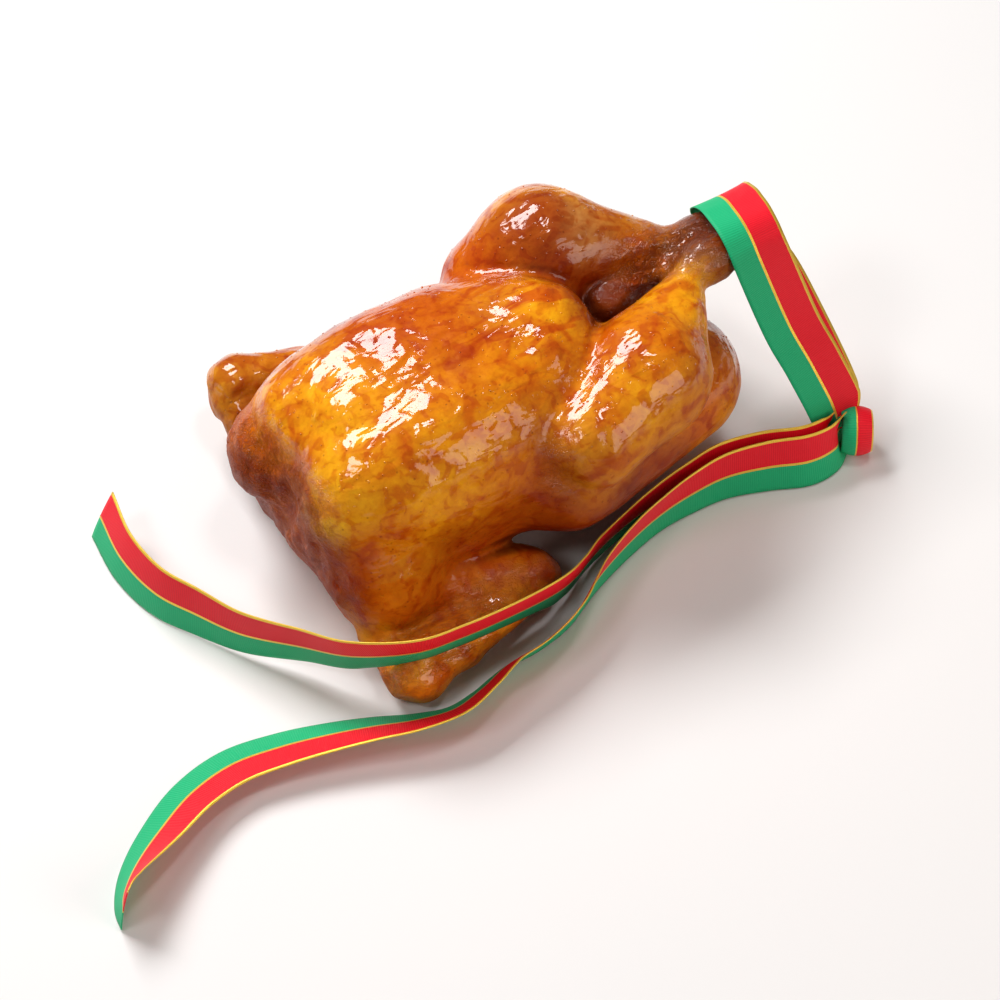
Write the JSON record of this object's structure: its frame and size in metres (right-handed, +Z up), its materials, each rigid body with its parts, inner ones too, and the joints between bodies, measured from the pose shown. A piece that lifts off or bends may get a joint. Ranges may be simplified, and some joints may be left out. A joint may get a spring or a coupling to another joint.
{
  "type": "roast chicken with ribbon",
  "caption": "Whole glazed roast chicken on its back, drumstick ends crossed and tied with a long striped woven ribbon whose tails trail past a wing.",
  "frame": {"origin": "on the flat spot under the bird's back that it rests on, at the middle of the back's width", "axes": "+X from the neck end to the drumstick ends, +Y to the bird's side away from the ribbon's tails, +Z up from the back to the breast"},
  "size_m": [0.3688, 0.1951, 0.1061],
  "materials": {
    "glazed_skin": "crisp roasted skin under a wet, glossy glaze",
    "woven_ribbon": "ribbed woven band, half red and half green, with gold threads"
  },
  "bodies": {
    "root": {"chicken": "glazed_skin", "ribbon": "woven_ribbon"}
  },
  "joints": []
}
